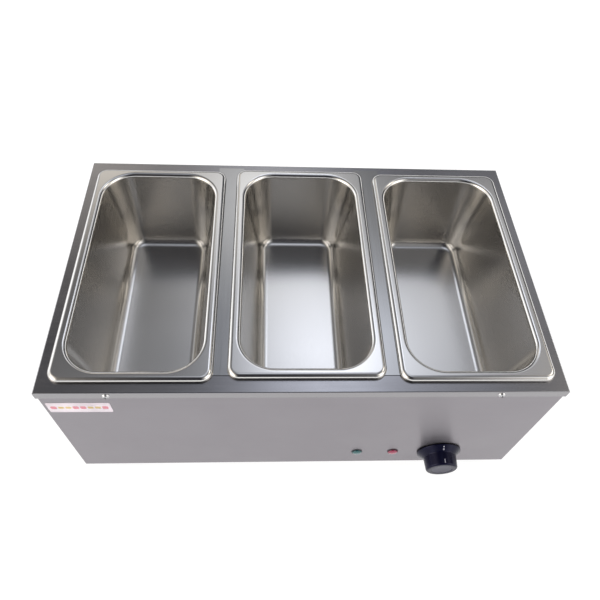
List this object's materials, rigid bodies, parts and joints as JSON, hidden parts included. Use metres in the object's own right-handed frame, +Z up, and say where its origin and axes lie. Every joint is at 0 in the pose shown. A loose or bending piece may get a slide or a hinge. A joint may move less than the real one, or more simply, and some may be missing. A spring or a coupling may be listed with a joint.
{
  "type": "steam table unit",
  "caption": "Countertop steam table: stainless case with a water tank, lift-out food pans, immersed heating element, thermostat knob and pilot lamps.",
  "frame": {"origin": "centre of the unit's box at the surface it stands on", "axes": "+X to the right along the long side, +Y to the back, +Z up; the knob and lamps face -Y"},
  "size_m": [0.58, 0.405, 0.2428],
  "materials": {
    "brushed_steel": "fine brushed sheet",
    "pan_steel": "satin drawn steel with bright edges",
    "tank_steel": "satin drawn steel",
    "plated_fixing": "bright zinc plate",
    "knob_black": "polished black moulding",
    "knob_cap_black": "satin black disc",
    "mark_white": "white filled marks",
    "brass": "machined",
    "lens_green": "translucent teal green",
    "lens_red": "translucent crimson",
    "lamp_black": "black moulding",
    "label_white": "white film with abstract colour bars",
    "foot_rubber": "black moulded rubber",
    "seal_rubber": "black seal",
    "element_sheath": "dull sheathed tube",
    "gasket_fibre": "red fibre and silicone",
    "ceramic_white": "fired insulator",
    "thermostat_case": "dark moulded case",
    "terminal_plastic": "cream moulding",
    "gland_plastic": "black nylon",
    "copper": "copper tube",
    "wire_live": "brown insulation",
    "wire_neutral": "blue insulation",
    "wire_earth": "green and yellow insulation"
  },
  "bodies": {
    "root": {"top_deck": "brushed_steel", "water_tank": "tank_steel", "divider_strip_left": "brushed_steel", "divider_strip_right": "brushed_steel", "case_wrap": "brushed_steel", "rear_panel": "brushed_steel", "base_plate": "brushed_steel", "foot_front_left": "foot_rubber", "foot_front_right": "foot_rubber", "foot_rear_left": "foot_rubber", "foot_rear_right": "foot_rubber", "foot_screws": "plated_fixing", "foot_nuts": "plated_fixing", "deck_screws": "plated_fixing", "clip_nuts": "plated_fixing", "base_screws": "plated_fixing", "rear_rivets": "plated_fixing", "name_label": "label_white", "lamp_green_body": "lamp_black", "lamp_green_lens": "lens_green", "lamp_red_body": "lamp_black", "lamp_red_lens": "lens_red", "lamp_nuts": "lamp_black", "thermostat_body": "thermostat_case", "thermostat_screws": "plated_fixing", "thermostat_bulb": "copper", "bulb_clips": "tank_steel", "thermostat_capillary": "copper", "heating_element": "element_sheath", "element_fittings": "brass", "element_gaskets": "gasket_fibre", "element_washers": "plated_fixing", "element_nuts": "brass", "element_insulators": "ceramic_white", "element_terminals": "plated_fixing", "element_saddles": "tank_steel", "thermal_cutout": "thermostat_case", "cutout_strap": "plated_fixing", "cutout_nuts": "plated_fixing", "cable_gland": "gland_plastic", "gland_locknut": "gland_plastic", "gland_seal": "seal_rubber", "gland_dome_nut": "gland_plastic", "terminal_block": "terminal_plastic", "terminal_screws": "plated_fixing", "earth_stud": "brass", "earth_nut": "brass", "wiring_live": "wire_live", "wiring_neutral": "wire_neutral", "wiring_earth": "wire_earth"},
    "left_pan": {"pan_left": "pan_steel"},
    "middle_pan": {"pan_middle": "pan_steel"},
    "right_pan": {"pan_right": "pan_steel"},
    "knob": {"control_knob": "knob_black", "knob_pointer": "mark_white", "knob_cap": "knob_cap_black", "knob_bush": "brass", "thermostat_shaft": "plated_fixing"}
  },
  "joints": [
    {"name": "left_pan_lift", "type": "slide", "parent": "root", "child": "left_pan", "axis": [0, 0, 1], "range_m": [0, 0.18]},
    {"name": "middle_pan_lift", "type": "slide", "parent": "root", "child": "middle_pan", "axis": [0, 0, 1], "range_m": [0, 0.18]},
    {"name": "right_pan_lift", "type": "slide", "parent": "root", "child": "right_pan", "axis": [0, 0, 1], "range_m": [0, 0.18]},
    {"name": "knob_turn", "type": "hinge", "parent": "root", "child": "knob", "pos_m": [0.188, -0.19, 0.054], "axis": [0, 1, 0], "range_deg": [0, 270]}
  ]
}
